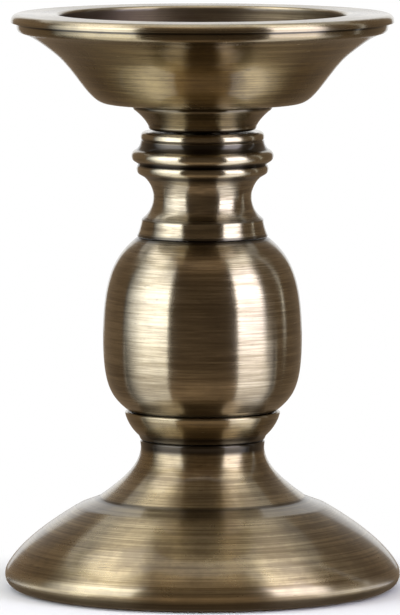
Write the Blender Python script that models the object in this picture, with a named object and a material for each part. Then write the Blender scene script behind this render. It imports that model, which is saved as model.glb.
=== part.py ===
"""A turned brass candlestick for one pillar candle, 150 mm high.

Every visible piece is a turned or spun shell. They stand on each other in one stack, from the foot up:
foot, collar cup, bulb, neck, boss, bowl and pan. A tie rod with a nut at each end holds the stack together.
Units are metres and +Z is up. The origin is on the axis, on the surface that the candlestick stands on.
"""

import math

import bmesh
import bpy

# Fits

SEAT_GAP = 0.0003
FIT_CLEARANCE = 0.0003

# Tie rod, nuts and washers

ROD_RADIUS = 0.0030
ROD_ROOT_RADIUS = 0.0024
ROD_PITCH = 0.0010
ROD_THREAD_LENGTH = 0.0100
ROD_PROUD = 0.0020
NUT_HALF_WIDTH = 0.0050
NUT_HEIGHT = 0.0050
NUT_CHAMFER_RADIUS = 0.0051
NUT_CHAMFER_SLOPE = 30.0
NUT_EDGE = 0.00005
WASHER_RADIUS = 0.0120
WASHER_THICKNESS = 0.0015
LOCK_WASHER_RADIUS = 0.0056
LOCK_WASHER_THICKNESS = 0.0013
LOCK_WASHER_SPRING = 0.0003
LOCK_WASHER_SLOT = 16.0

# Registers: a short spigot on one piece enters a hole in the next and keeps the stack centred

SPIGOT_RADIUS = 0.0070
SPIGOT_LENGTH = 0.0009
RECESS_DEPTH = 0.0012

# Felt and base disc

FELT_MARGIN = 0.0008
FELT_THICKNESS = 0.0016
BASE_DISC_THICKNESS = 0.0020

# Foot

FOOT_LIFT = 0.0004
FOOT_HEIGHT = 0.0386
FOOT_WALL = 0.0010
FOOT_RADIUS = 0.0515
FOOT_RIM_HEIGHT = 0.0035
FOOT_RIM_ROUND = 0.0046
FOOT_HEM_INSET = 0.0064
FOOT_HEM_ROUND = 0.0012
FOOT_HEM_HEIGHT = 0.0036
FOOT_HEM_RADIUS = FOOT_RADIUS - FOOT_HEM_INSET
FOOT_CREASE_RADIUS = 0.0273
FOOT_CREASE_HEIGHT = 0.0233
FOOT_CREASE_WIDTH = 0.0054
FOOT_CREASE_SLOPE = 20.5
FOOT_DOME_RISE = 0.0093
FOOT_FLARE_SLOPE = 36.0
FOOT_FLARE_CURVE = 0.0063
FOOT_NECK_CURVE = 0.0054
FOOT_NECK_DRAW = 0.00015
FOOT_NECK_DROP = 0.0018
FOOT_TOP_RADIUS = 0.0162
FOOT_TOP_ROUND = 0.0006

# Bulb

BULB_RADIUS = 0.0259
BULB_HEIGHT = 0.04735
BULB_WALL = 0.0010
BULB_GIRTH_HEIGHT = 0.0222
BULB_UPPER_CURVE = 0.0142
BULB_LOWER_CURVE = 0.0140
BULB_TOP_RADIUS = 0.0168
BULB_SHOULDER_SLOPE = 36.0
BULB_SHOULDER_CURVE = 0.0076
BULB_HIP_RADIUS = 0.0188
BULB_HIP_HEIGHT = 0.0017
BULB_HIP_SLOPE = 38.0
BULB_HIP_CURVE = 0.0065
BULB_BASE_INSET = 0.0043
BULB_BASE_RADIUS = BULB_HIP_RADIUS - BULB_BASE_INSET

# Collar cup: its floor carries the bulb and its lip goes round the bulb's hip

COLLAR_BASE_RADIUS = FOOT_TOP_RADIUS
COLLAR_WAIST_FLARE = 0.0004
COLLAR_WAIST_HEIGHT = 0.0009
COLLAR_WAIST_SLOPE = 42.0
COLLAR_SIDE_SLOPE = 76.0
COLLAR_LIP_ROUND = 0.0005
COLLAR_LIP_CLEARANCE = 0.0004
COLLAR_LIP_RISE = 0.0002
COLLAR_FLOOR_HEIGHT = 0.0050
COLLAR_FLOOR_MARGIN = 0.0020
COLLAR_RADIUS = BULB_HIP_RADIUS + COLLAR_LIP_CLEARANCE + 2 * COLLAR_LIP_ROUND
COLLAR_HEIGHT = COLLAR_FLOOR_HEIGHT + SEAT_GAP + BULB_HIP_HEIGHT + COLLAR_LIP_RISE

# Neck

NECK_HEIGHT = 0.0272
NECK_BORE_RADIUS = 0.0095
NECK_SPIGOT_WALL = 0.0015
NECK_SPIGOT_RADIUS = NECK_BORE_RADIUS + NECK_SPIGOT_WALL
NECK_WEB = 0.0030
NECK_TOP_RADIUS = 0.01605
NECK_TOP_ROUND = 0.0012
NECK_GROOVE_DROP = 0.0021
NECK_GROOVE_DEPTH = 0.00025
NECK_GROOVE_WIDTH = 0.0007
NECK_FLARE_STEP = 0.00105
NECK_FLARE_RADIUS = NECK_TOP_RADIUS + NECK_FLARE_STEP
NECK_FLARE_DROP = 0.0047
NECK_FLARE_SLOPE = 46.0
NECK_BEAD_STEP = 0.0014
NECK_BEAD_RADIUS = NECK_FLARE_RADIUS + NECK_BEAD_STEP
NECK_BEAD_ROUND = 0.00165
NECK_BEAD_DROP = 0.00635
NECK_BEAD_ANGLE = 62.0
NECK_RING_INSET = 0.00135
NECK_RING_RADIUS = NECK_BEAD_RADIUS - NECK_RING_INSET
NECK_RING_ROUND = 0.00165
NECK_RING_DROP = 0.00975
NECK_RING_TOP_ANGLE = 50.0
NECK_RING_BASE_ANGLE = 60.0
NECK_WAIST_RADIUS = 0.0128
NECK_COVE_ROUND = 0.0069
NECK_COVE_HALF_HEIGHT = 0.0052
NECK_COVE_HEIGHT = 0.01015
NECK_BAND_TOP_RADIUS = 0.0158
NECK_BAND_TOP_HEIGHT = 0.0043
NECK_BAND_WAIST_RADIUS = 0.0160
NECK_BAND_WAIST_HEIGHT = 0.0025
NECK_BASE_OVERHANG = 0.0002
NECK_BASE_RADIUS = BULB_TOP_RADIUS + NECK_BASE_OVERHANG

# Boss under the dish

BOSS_HEIGHT = 0.00675
BOSS_BASE_INSET = 0.00345
BOSS_BASE_RADIUS = NECK_TOP_RADIUS - BOSS_BASE_INSET
BOSS_HEEL_STEP = 0.0015
BOSS_HEEL_RADIUS = BOSS_BASE_RADIUS + BOSS_HEEL_STEP
BOSS_HEEL_HEIGHT = 0.0012
BOSS_HEEL_SLOPE = 63.0
BOSS_LIP_STEP = 0.0041
BOSS_LIP_RADIUS = BOSS_HEEL_RADIUS + BOSS_LIP_STEP
BOSS_LIP_HEIGHT = 0.0014
BOSS_LIP_ROUND = 0.0004
BOSS_LIP_SLOPE = 37.0

# Pan

PAN_WALL = 0.0008
PAN_LIP_HEIGHT = 0.0022
PAN_LIP_ROUND = 0.0017
WELL_RADIUS = 0.0374
FLANGE_WIDTH = 0.0123
PAN_RADIUS = WELL_RADIUS + FLANGE_WIDTH
WELL_DEPTH = 0.0090
WELL_EDGE_ROUND = 0.0010
WELL_FLOOR_ROUND = 0.0015
WELL_HEADROOM = 0.0015

# Bowl: its band stands inside the pan's lip and its side passes close under the well's corner

BOWL_WALL = 0.0009
BOWL_BASE_RADIUS = 0.0249
BOWL_BASE_CURVE = 0.0046
BOWL_SIDE_CURVE = 0.0068
BOWL_SIDE_SLOPE = 39.0
BOWL_MOUTH_SLOPE = 22.0
BOWL_MOUTH_RUN = 0.0010
BOWL_BAND_GAP = 0.0007
BOWL_BAND_DEPTH = 0.0027
BOWL_BAND_HEADROOM = 0.0006
BOWL_BAND_CORNER = 0.0014
BOWL_BAND_CROWN = 0.0001
BOWL_CLEARANCE = 0.0005

# Facets

TURN_STEPS = 40
SMALL_STEPS = 24
ROD_STEPS = 12
FACE_TOLERANCE = 0.00013
HIDDEN_TOLERANCE = 0.00040
LONG_RUN = 0.0030
OFFSET_SLACK = 0.00003
CURVE_STEPS = 10
ROUND_STEPS = 6
SHADE_ANGLE = math.radians(32.0)
MERGE_DISTANCE = 0.000001

# Colours and roughness

BRUSHED_BRASS = (0.34, 0.26, 0.14)
BRUSHED_BRASS_ROUGHNESS = 0.38
DARK_BRASS = (0.28, 0.21, 0.12)
DARK_BRASS_ROUGHNESS = 0.30
ZINC_STEEL = (0.60, 0.61, 0.62)
ZINC_STEEL_ROUGHNESS = 0.35
FIBRE_BOARD = (0.20, 0.13, 0.08)
FIBRE_BOARD_ROUGHNESS = 0.85
FELT = (0.02, 0.02, 0.022)
FELT_ROUGHNESS = 0.95

# Places up the stack, each from the piece below it

ROD_HOLE = ROD_RADIUS + FIT_CLEARANCE
SPIGOT_HOLE = SPIGOT_RADIUS + FIT_CLEARANCE

DISC_SEAT = FELT_THICKNESS + SEAT_GAP
FOOT_TOP = FOOT_LIFT + FOOT_HEIGHT
COLLAR_SEAT = FOOT_TOP + SEAT_GAP
BULB_SEAT = COLLAR_SEAT + COLLAR_FLOOR_HEIGHT + SEAT_GAP
NECK_SEAT = BULB_SEAT + BULB_HEIGHT + SEAT_GAP
BOSS_SEAT = NECK_SEAT + NECK_HEIGHT + SEAT_GAP
BOWL_SEAT = BOSS_SEAT + BOSS_HEIGHT + SEAT_GAP

TOP_WASHER_SEAT = BOWL_SEAT + BOWL_WALL + SEAT_GAP
TOP_LOCK_SEAT = TOP_WASHER_SEAT + WASHER_THICKNESS + SEAT_GAP
LOCK_WASHER_HEIGHT = LOCK_WASHER_THICKNESS + LOCK_WASHER_SPRING
TOP_NUT_SEAT = TOP_LOCK_SEAT + LOCK_WASHER_HEIGHT + SEAT_GAP
ROD_TOP = TOP_NUT_SEAT + NUT_HEIGHT + ROD_PROUD

BOTTOM_WASHER_SEAT = FOOT_TOP - FOOT_WALL - SEAT_GAP - WASHER_THICKNESS
BOTTOM_LOCK_SEAT = BOTTOM_WASHER_SEAT - SEAT_GAP - LOCK_WASHER_HEIGHT
BOTTOM_NUT_SEAT = BOTTOM_LOCK_SEAT - SEAT_GAP - NUT_HEIGHT
ROD_BOTTOM = BOTTOM_NUT_SEAT - ROD_PROUD

WELL_FLOOR = ROD_TOP + WELL_HEADROOM + PAN_WALL
PAN_TOP = WELL_FLOOR + WELL_DEPTH
BAND_TOP = PAN_TOP - PAN_WALL - BOWL_BAND_HEADROOM
BAND_BASE = PAN_TOP - PAN_LIP_HEIGHT - BOWL_BAND_DEPTH


# Outlines: lists of (radius, height) points

def arc(centre, radius, start, end, steps=ROUND_STEPS):
    """Points round a centre, from the start angle to the end angle in degrees."""
    points = []
    for i in range(steps + 1):
        angle = math.radians(start + (end - start) * i / steps)
        points.append((centre[0] + radius * math.cos(angle), centre[1] + radius * math.sin(angle)))
    return points


def curve(start, first, second, end, steps=CURVE_STEPS):
    """Points on a cubic curve, without its start point."""
    points = []
    for i in range(1, steps + 1):
        t = i / steps
        weights = ((1 - t) ** 3, 3 * (1 - t) ** 2 * t, 3 * (1 - t) * t ** 2, t ** 3)
        corners = (start, first, second, end)
        points.append(tuple(sum(w * c[axis] for w, c in zip(weights, corners)) for axis in (0, 1)))
    return points


def bend(start, corner, end, steps=CURVE_STEPS):
    """Points on a curve from start towards a corner and round it to the end, without its start point."""
    first = tuple((s + 2 * c) / 3 for s, c in zip(start, corner))
    second = tuple((e + 2 * c) / 3 for e, c in zip(end, corner))
    return curve(start, first, second, end, steps)


def meeting(point, run, other, other_run):
    """Where the line through one point along its run meets the line through another point along its own."""
    across = run[0] * other_run[1] - run[1] * other_run[0]
    t = ((other[0] - point[0]) * other_run[1] - (other[1] - point[1]) * other_run[0]) / across
    return (point[0] + t * run[0], point[1] + t * run[1])


def crossing(point, slope, other, other_slope):
    """Where the line through one point meets the line through another, with both slopes in degrees."""
    return meeting(point, away((0.0, 0.0), 1.0, slope), other, away((0.0, 0.0), 1.0, other_slope))


def away(point, length, slope):
    """The point at a length from another, in the direction of a slope in degrees."""
    angle = math.radians(slope)
    return (point[0] + length * math.cos(angle), point[1] + length * math.sin(angle))


def distance_to_outline(point, outline):
    """The shortest distance from a point to the straight runs of an outline."""
    nearest = math.inf
    for a, b in zip(outline, outline[1:]):
        run = (b[0] - a[0], b[1] - a[1])
        t = ((point[0] - a[0]) * run[0] + (point[1] - a[1]) * run[1]) / (run[0] ** 2 + run[1] ** 2)
        t = min(1.0, max(0.0, t))
        nearest = min(nearest, math.hypot(point[0] - a[0] - t * run[0], point[1] - a[1] - t * run[1]))
    return nearest


def plain(outline, tolerance):
    """The outline without the points that lie within the tolerance of a straight run past them.

    Both ends of a long straight run stay, so that a flat flange or floor stays flat and at its height.
    """
    kept = [outline[0]]
    start = 0
    for i in range(2, len(outline)):
        run = (outline[start], outline[i])
        longest = max(math.dist(outline[i - 2], outline[i - 1]), math.dist(outline[i - 1], outline[i]))
        if longest > LONG_RUN or max(distance_to_outline(p, run) for p in outline[start + 1:i]) > tolerance:
            start = i - 1
            kept.append(outline[start])
    return kept + [outline[-1]]


def sheet(face, wall, side):
    """The closed outline of sheet metal: its face, and a line one wall away to the right (1) or left (-1).

    Where a corner is rounder inside than the wall allows, the line away from the face has a sharp corner.
    """
    other = []
    last_run = None
    cut = False
    for i, point in enumerate(face):
        before = face[max(i - 1, 0)]
        after = face[min(i + 1, len(face) - 1)]
        runs = [(b[0] - a[0], b[1] - a[1]) for a, b in ((before, point), (point, after)) if a != b]
        normals = [(side * dz / math.hypot(dr, dz), -side * dr / math.hypot(dr, dz)) for dr, dz in runs]
        total = (sum(n[0] for n in normals), sum(n[1] for n in normals))
        scale = wall * len(normals) / (total[0] ** 2 + total[1] ** 2)
        moved = (point[0] + total[0] * scale, point[1] + total[1] * scale)
        if distance_to_outline(moved, face) < wall - OFFSET_SLACK:
            cut = True
            continue
        if cut and last_run:
            other.append(meeting(other[-1], last_run, moved, runs[0]))
        other.append(moved)
        last_run = runs[-1]
        cut = False
    return plain(face, FACE_TOLERANCE) + plain(other, HIDDEN_TOLERANCE)[::-1]


# Solids

def new_object(name, mesh, material, height):
    """A smooth-shaded object from a bmesh, at a height on the axis."""
    bmesh.ops.recalc_face_normals(mesh, faces=mesh.faces)
    data = bpy.data.meshes.new(name)
    mesh.to_mesh(data)
    mesh.free()
    data.shade_smooth()
    data.set_sharp_from_angle(angle=SHADE_ANGLE)
    data.materials.append(material)
    piece = bpy.data.objects.new(name, data)
    piece.location = (0.0, 0.0, height)
    bpy.context.collection.objects.link(piece)
    return piece


def turned(name, outline, material, height, steps=TURN_STEPS):
    """A piece turned round the Z axis. An outline that starts and ends on the axis stays open there."""
    mesh = bmesh.new()
    points = [mesh.verts.new((radius, 0.0, z)) for radius, z in outline]
    runs = [mesh.edges.new(pair) for pair in zip(points, points[1:])]
    on_axis = outline[0][0] == 0.0
    if not on_axis:
        runs.append(mesh.edges.new((points[-1], points[0])))
    bmesh.ops.spin(mesh, geom=points + runs, cent=(0.0, 0.0, 0.0), axis=(0.0, 0.0, 1.0),
                   angle=math.tau, steps=steps, use_merge=True)
    if on_axis:
        bmesh.ops.remove_doubles(mesh, verts=mesh.verts, dist=MERGE_DISTANCE)
    return new_object(name, mesh, material, height)


def metal(name, colour, roughness):
    """A metal material."""
    material = bpy.data.materials.new(name)
    material.use_nodes = True
    shader = material.node_tree.nodes["Principled BSDF"]
    shader.inputs["Base Color"].default_value = (*colour, 1.0)
    shader.inputs["Roughness"].default_value = roughness
    shader.inputs["Metallic"].default_value = 1.0
    material.diffuse_color = (*colour, 1.0)
    return material


def matt(name, colour, roughness):
    """A material that isn't metal."""
    material = metal(name, colour, roughness)
    material.node_tree.nodes["Principled BSDF"].inputs["Metallic"].default_value = 0.0
    return material


# Dish

def pan_outline():
    """The pan from above: well floor, well wall, flange and turned-down lip. The flange is at height 0."""
    lip = (PAN_RADIUS - PAN_LIP_ROUND, -PAN_LIP_ROUND)
    floor_round = (WELL_RADIUS - WELL_FLOOR_ROUND, WELL_FLOOR_ROUND - WELL_DEPTH)
    edge_round = (WELL_RADIUS + WELL_EDGE_ROUND, -WELL_EDGE_ROUND)
    face = [(0.0, -WELL_DEPTH)]
    face += arc(floor_round, WELL_FLOOR_ROUND, -90, 0)
    face += arc(edge_round, WELL_EDGE_ROUND, 180, 90)
    face += arc(lip, PAN_LIP_ROUND, 90, 0)
    face.append((PAN_RADIUS, -PAN_LIP_HEIGHT))
    return sheet(face, PAN_WALL, 1)


def bowl_outline():
    """The bowl from below: base, side that passes the pan's corner with a clearance, and band in the lip."""
    band_radius = PAN_RADIUS - PAN_WALL - BOWL_BAND_GAP
    band_corner = (band_radius - BOWL_BAND_CORNER, BAND_BASE + BOWL_BAND_CORNER - BOWL_SEAT)
    band_top = (band_radius - BOWL_BAND_CROWN, BAND_TOP - BOWL_SEAT)
    corner_round = WELL_FLOOR_ROUND + PAN_WALL
    corner = (WELL_RADIUS - WELL_FLOOR_ROUND, WELL_FLOOR + WELL_FLOOR_ROUND - BOWL_SEAT)
    side = away(corner, corner_round + BOWL_CLEARANCE + BOWL_WALL, BOWL_SIDE_SLOPE - 90)
    mouth = away((band_corner[0], band_corner[1] - BOWL_BAND_CORNER), BOWL_MOUTH_RUN, BOWL_MOUTH_SLOPE + 180)
    base = (BOWL_BASE_RADIUS, 0.0)
    face = [(SPIGOT_HOLE, 0.0), base]
    side_start = away(side, BOWL_SIDE_CURVE, BOWL_SIDE_SLOPE + 180)
    face += curve(base, away(base, BOWL_BASE_CURVE, 0), side_start, side)
    face += bend(side, crossing(side, BOWL_SIDE_SLOPE, mouth, BOWL_MOUTH_SLOPE), mouth)
    face += arc(band_corner, BOWL_BAND_CORNER, -90, 0)
    crown = (band_radius + BOWL_BAND_CROWN, (band_corner[1] + band_top[1]) / 2)
    face += bend((band_radius, band_corner[1]), crown, band_top)
    return sheet(face, BOWL_WALL, -1)


def boss_outline():
    """The boss: a flared cup with a spigot at each end and the rod hole through it."""
    base = (BOSS_BASE_RADIUS, 0.0)
    heel = (BOSS_HEEL_RADIUS, BOSS_HEEL_HEIGHT)
    lip_base = (BOSS_LIP_RADIUS - BOSS_LIP_ROUND, BOSS_HEIGHT - BOSS_LIP_HEIGHT)
    lip_side = (BOSS_LIP_RADIUS + BOSS_LIP_ROUND, BOSS_HEIGHT - BOSS_LIP_HEIGHT / 2)
    lip_top = (BOSS_LIP_RADIUS - BOSS_LIP_ROUND, BOSS_HEIGHT)
    outline = [(ROD_HOLE, -SPIGOT_LENGTH), (SPIGOT_RADIUS, -SPIGOT_LENGTH), (SPIGOT_RADIUS, 0.0), base]
    outline += bend(base, (BOSS_HEEL_RADIUS, 0.0), heel)
    outline += bend(heel, crossing(heel, BOSS_HEEL_SLOPE, lip_base, BOSS_LIP_SLOPE), lip_base)
    outline += bend(lip_base, lip_side, lip_top)
    outline += [(SPIGOT_RADIUS, BOSS_HEIGHT), (SPIGOT_RADIUS, BOSS_HEIGHT + SPIGOT_LENGTH)]
    outline.append((ROD_HOLE, BOSS_HEIGHT + SPIGOT_LENGTH))
    return plain(outline, FACE_TOLERANCE)


# Stem

def neck_outline():
    """The neck, from its top face down the outside and back up its bore."""
    top = NECK_HEIGHT
    cove = (NECK_WAIST_RADIUS + NECK_COVE_ROUND, NECK_COVE_HEIGHT)
    cove_angle = math.degrees(math.asin(NECK_COVE_HALF_HEIGHT / NECK_COVE_ROUND))
    bead = (NECK_BEAD_RADIUS - NECK_BEAD_ROUND, top - NECK_BEAD_DROP)
    ring = (NECK_RING_RADIUS - NECK_RING_ROUND, top - NECK_RING_DROP)
    groove = top - NECK_GROOVE_DROP
    flare = (NECK_FLARE_RADIUS, top - NECK_FLARE_DROP)
    outline = [(ROD_HOLE, top - RECESS_DEPTH), (SPIGOT_HOLE, top - RECESS_DEPTH), (SPIGOT_HOLE, top)]
    outline += arc((NECK_TOP_RADIUS - NECK_TOP_ROUND, top - NECK_TOP_ROUND), NECK_TOP_ROUND, 90, 0)
    outline.append((NECK_TOP_RADIUS, groove + NECK_GROOVE_WIDTH / 2))
    outline.append((NECK_TOP_RADIUS - NECK_GROOVE_DEPTH, groove))
    outline.append((NECK_TOP_RADIUS, groove - NECK_GROOVE_WIDTH / 2))
    outline += bend(outline[-1], crossing(outline[-1], 90, flare, -NECK_FLARE_SLOPE), flare)
    outline += arc(bead, NECK_BEAD_ROUND, NECK_BEAD_ANGLE, -NECK_BEAD_ANGLE)
    outline += arc(ring, NECK_RING_ROUND, NECK_RING_TOP_ANGLE, -NECK_RING_BASE_ANGLE)
    outline += arc(cove, NECK_COVE_ROUND, 180 - cove_angle, 180 + cove_angle, CURVE_STEPS)
    band_top = (NECK_BAND_TOP_RADIUS, NECK_BAND_TOP_HEIGHT)
    outline.append(band_top)
    outline += bend(band_top, (NECK_BAND_WAIST_RADIUS, NECK_BAND_WAIST_HEIGHT), (NECK_BASE_RADIUS, 0.0))
    outline += [(NECK_SPIGOT_RADIUS, 0.0), (NECK_SPIGOT_RADIUS, -SPIGOT_LENGTH)]
    outline += [(NECK_BORE_RADIUS, -SPIGOT_LENGTH), (NECK_BORE_RADIUS, top - RECESS_DEPTH - NECK_WEB)]
    outline.append((ROD_HOLE, top - RECESS_DEPTH - NECK_WEB))
    return plain(outline, FACE_TOLERANCE)


def bulb_outline():
    """The bulb, from the hole in its top down the outside to the hole in its base."""
    top = (BULB_TOP_RADIUS, BULB_HEIGHT)
    girth = (BULB_RADIUS, BULB_GIRTH_HEIGHT)
    hip = (BULB_HIP_RADIUS, BULB_HIP_HEIGHT)
    base = (BULB_BASE_RADIUS, 0.0)
    face = [(NECK_SPIGOT_RADIUS + FIT_CLEARANCE, BULB_HEIGHT), top]
    shoulder = away(top, BULB_SHOULDER_CURVE, -BULB_SHOULDER_SLOPE)
    face += curve(top, shoulder, away(girth, BULB_UPPER_CURVE, 90), girth)
    face += curve(girth, away(girth, BULB_LOWER_CURVE, -90), away(hip, BULB_HIP_CURVE, BULB_HIP_SLOPE), hip)
    face += bend(hip, crossing(hip, BULB_HIP_SLOPE, base, 0), base)
    face.append((SPIGOT_HOLE, 0.0))
    return sheet(face, BULB_WALL, 1)


def collar_outline():
    """The collar cup: spigot and floor for the bulb, rounded lip, and a side drawn in to the foot's neck."""
    lip = (COLLAR_RADIUS - COLLAR_LIP_ROUND, COLLAR_HEIGHT - COLLAR_LIP_ROUND)
    side = away(lip, COLLAR_LIP_ROUND, 0)
    waist = (COLLAR_BASE_RADIUS + COLLAR_WAIST_FLARE, COLLAR_WAIST_HEIGHT)
    floor = COLLAR_FLOOR_HEIGHT
    outline = [(ROD_HOLE, floor + SPIGOT_LENGTH), (SPIGOT_RADIUS, floor + SPIGOT_LENGTH)]
    outline += [(SPIGOT_RADIUS, floor), (BULB_BASE_RADIUS + COLLAR_FLOOR_MARGIN, floor)]
    outline += arc(lip, COLLAR_LIP_ROUND, 180, 0)
    outline += bend(side, crossing(side, COLLAR_SIDE_SLOPE, waist, COLLAR_WAIST_SLOPE), waist)
    outline.append((COLLAR_BASE_RADIUS, 0.0))
    outline += [(SPIGOT_RADIUS, 0.0), (SPIGOT_RADIUS, -SPIGOT_LENGTH), (ROD_HOLE, -SPIGOT_LENGTH)]
    return plain(outline, FACE_TOLERANCE)


# Foot

def foot_outline():
    """The foot, from the hole in its top down the flare, over the crease and dome, to the hem."""
    rim = (FOOT_RADIUS - FOOT_RIM_ROUND, FOOT_RIM_HEIGHT)
    crown = away(rim, FOOT_DOME_RISE, 90)
    rim_angle = math.degrees(math.asin(FOOT_RIM_ROUND / FOOT_DOME_RISE))
    crease = (FOOT_CREASE_RADIUS, FOOT_CREASE_HEIGHT)
    neck = (FOOT_TOP_RADIUS - FOOT_NECK_DRAW, FOOT_HEIGHT - FOOT_NECK_DROP)
    face = [(SPIGOT_HOLE, FOOT_HEIGHT)]
    face += arc((FOOT_TOP_RADIUS - FOOT_TOP_ROUND, FOOT_HEIGHT - FOOT_TOP_ROUND), FOOT_TOP_ROUND, 90, 0)
    face.append(neck)
    flare_end = away(crease, FOOT_FLARE_CURVE, 180 - FOOT_FLARE_SLOPE)
    face += curve(neck, away(neck, FOOT_NECK_CURVE, -90), flare_end, crease)
    dome = away(crease, FOOT_CREASE_WIDTH, -FOOT_CREASE_SLOPE)
    face.append(dome)
    face += bend(dome, crown, away(rim, FOOT_RIM_ROUND, rim_angle))
    face += arc(rim, FOOT_RIM_ROUND, rim_angle, 0)[1:]
    face += arc((FOOT_RADIUS - FOOT_RIM_HEIGHT, FOOT_RIM_HEIGHT), FOOT_RIM_HEIGHT, 0, -90)[1:]
    face += arc((FOOT_HEM_RADIUS + FOOT_HEM_ROUND, FOOT_HEM_ROUND), FOOT_HEM_ROUND, -90, -180)
    face.append((FOOT_HEM_RADIUS, FOOT_HEM_HEIGHT))
    return sheet(face, FOOT_WALL, 1)


def disc_outline(radius, thickness):
    """A plain disc."""
    return [(0.0, thickness), (radius, thickness), (radius, 0.0), (0.0, 0.0)]


# Fasteners

def rod_outline():
    """The tie rod, with a chamfered thread of ridges at each end."""
    length = ROD_TOP - ROD_BOTTOM
    ridges = round(ROD_THREAD_LENGTH / ROD_PITCH)
    end = [(ROD_ROOT_RADIUS, 0.0)]
    for i in range(ridges):
        end.append((ROD_RADIUS, (i + 0.5) * ROD_PITCH))
        end.append((ROD_ROOT_RADIUS, (i + 1) * ROD_PITCH))
    end.append((ROD_RADIUS, (ridges + 0.5) * ROD_PITCH))
    return [(0.0, 0.0)] + end + [(radius, length - z) for radius, z in end[::-1]] + [(0.0, length)]


def washer_outline(radius, thickness):
    """A flat washer."""
    return [(ROD_HOLE, thickness), (radius, thickness), (radius, 0.0), (ROD_HOLE, 0.0)]


def section(mesh, outline, angle):
    """The vertices of an outline that stands at an angle round the axis, in radians."""
    across, along = math.cos(angle), math.sin(angle)
    return [mesh.verts.new((radius * across, radius * along, z)) for radius, z in outline]


def join(mesh, sections):
    """The faces between each section and the next."""
    for near, far in zip(sections, sections[1:]):
        for i in range(len(near)):
            mesh.faces.new((near[i - 1], near[i], far[i], far[i - 1]))


def hex_nut(name, material, height):
    """A hexagon nut with chamfered corners and a plain bore."""
    mesh = bmesh.new()
    sections = []
    for i in range(SMALL_STEPS):
        angle = math.tau * i / SMALL_STEPS
        from_flat = (angle + math.pi / 6) % (math.pi / 3) - math.pi / 6
        side = NUT_HALF_WIDTH / math.cos(from_flat)
        face = min(side, NUT_CHAMFER_RADIUS)
        chamfer = NUT_EDGE + (side - face) * math.tan(math.radians(NUT_CHAMFER_SLOPE))
        lower = [(ROD_HOLE, 0.0), (face, 0.0), (side, chamfer)]
        upper = [(radius, NUT_HEIGHT - z) for radius, z in lower[::-1]]
        sections.append(section(mesh, lower + upper, angle))
    join(mesh, sections + sections[:1])
    return new_object(name, mesh, material, height)


def lock_washer(name, material, height):
    """A split spring washer: a square section swept nearly once round while it climbs a little."""
    mesh = bmesh.new()
    slot = math.radians(LOCK_WASHER_SLOT)
    sections = []
    for i in range(SMALL_STEPS + 1):
        t = i / SMALL_STEPS
        outline = washer_outline(LOCK_WASHER_RADIUS, LOCK_WASHER_THICKNESS)
        raised = [(radius, z + LOCK_WASHER_SPRING * t) for radius, z in outline]
        sections.append(section(mesh, raised, slot / 2 + (math.tau - slot) * t))
    join(mesh, sections)
    mesh.faces.new(sections[0])
    mesh.faces.new(sections[-1])
    return new_object(name, mesh, material, height)


def build():
    """Clear the scene and make every piece in its place."""
    for item in list(bpy.data.objects):
        bpy.data.objects.remove(item, do_unlink=True)

    brushed = metal("brushed_antique_brass", BRUSHED_BRASS, BRUSHED_BRASS_ROUGHNESS)
    dark = metal("dark_antique_brass", DARK_BRASS, DARK_BRASS_ROUGHNESS)
    steel = metal("zinc_plated_steel", ZINC_STEEL, ZINC_STEEL_ROUGHNESS)
    board = matt("fibre_board", FIBRE_BOARD, FIBRE_BOARD_ROUGHNESS)
    felt = matt("black_felt", FELT, FELT_ROUGHNESS)

    turned("candle_pan", pan_outline(), brushed, PAN_TOP)
    turned("bowl_shell", bowl_outline(), brushed, BOWL_SEAT)
    turned("bowl_boss", boss_outline(), dark, BOSS_SEAT)
    turned("neck_spool", neck_outline(), dark, NECK_SEAT)
    turned("bulb_shell", bulb_outline(), brushed, BULB_SEAT)
    turned("collar_cup", collar_outline(), dark, COLLAR_SEAT)
    turned("foot_shell", foot_outline(), brushed, FOOT_LIFT)

    turned("base_disc", disc_outline(FOOT_HEM_RADIUS - FIT_CLEARANCE, BASE_DISC_THICKNESS), board, DISC_SEAT)
    turned("felt_pad", disc_outline(FOOT_HEM_RADIUS - FELT_MARGIN, FELT_THICKNESS), felt, 0.0)

    turned("tie_rod", rod_outline(), steel, ROD_BOTTOM, ROD_STEPS)
    for end, washer, lock, nut in (("top", TOP_WASHER_SEAT, TOP_LOCK_SEAT, TOP_NUT_SEAT),
                                   ("bottom", BOTTOM_WASHER_SEAT, BOTTOM_LOCK_SEAT, BOTTOM_NUT_SEAT)):
        turned(f"{end}_washer", washer_outline(WASHER_RADIUS, WASHER_THICKNESS), steel, washer, SMALL_STEPS)
        lock_washer(f"{end}_lock_washer", steel, lock)
        hex_nut(f"{end}_nut", steel, nut)


build()
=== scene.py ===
"""The looks of a turned brass candlestick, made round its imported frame.

Each visible shell, and the felt pad, is a finely turned mesh that stands for its CAD node, with the same
sizes and in the same place.
The hidden rod, nuts and washers and the base disc stay CAD nodes and get finished materials.
Units are metres, +Z is up, and the camera looks along +Y.
"""

import math

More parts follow.
